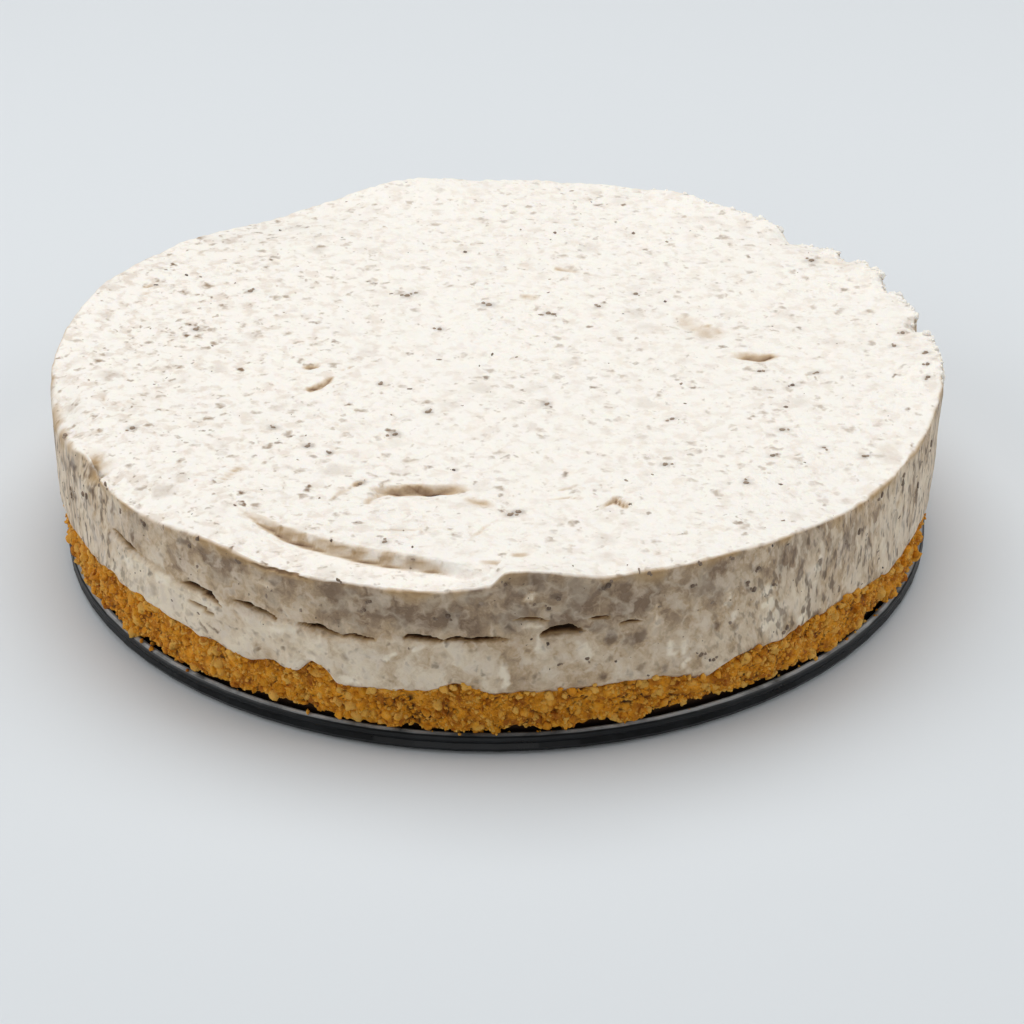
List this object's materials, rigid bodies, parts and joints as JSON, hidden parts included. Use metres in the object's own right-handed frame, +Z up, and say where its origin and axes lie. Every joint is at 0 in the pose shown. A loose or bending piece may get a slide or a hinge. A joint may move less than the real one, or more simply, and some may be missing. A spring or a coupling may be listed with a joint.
{
  "type": "cheesecake",
  "caption": "Round chilled cheesecake of pale cream filling with chocolate flecks on a crumbly biscuit base, standing on the dark disc of its springform tin.",
  "frame": {"origin": "centre of the underside of the tin's disc, on the surface that the cake stands on", "axes": "+Z up through the layers; -Y is the side that faces the camera in the picture; +X to its right"},
  "size_m": [0.2034, 0.2024, 0.0449],
  "materials": {
    "tin_disc": "satin black non-stick coating on pressed steel",
    "crumb_base": "matt golden brown biscuit crumbs pressed together with butter",
    "cream_filling": "soft satin off-white cream cheese filling with dark flecks of chocolate"
  },
  "bodies": {
    "root": {"tin_disc": "tin_disc", "crumb_base": "crumb_base", "cream_filling": "cream_filling"}
  },
  "joints": []
}
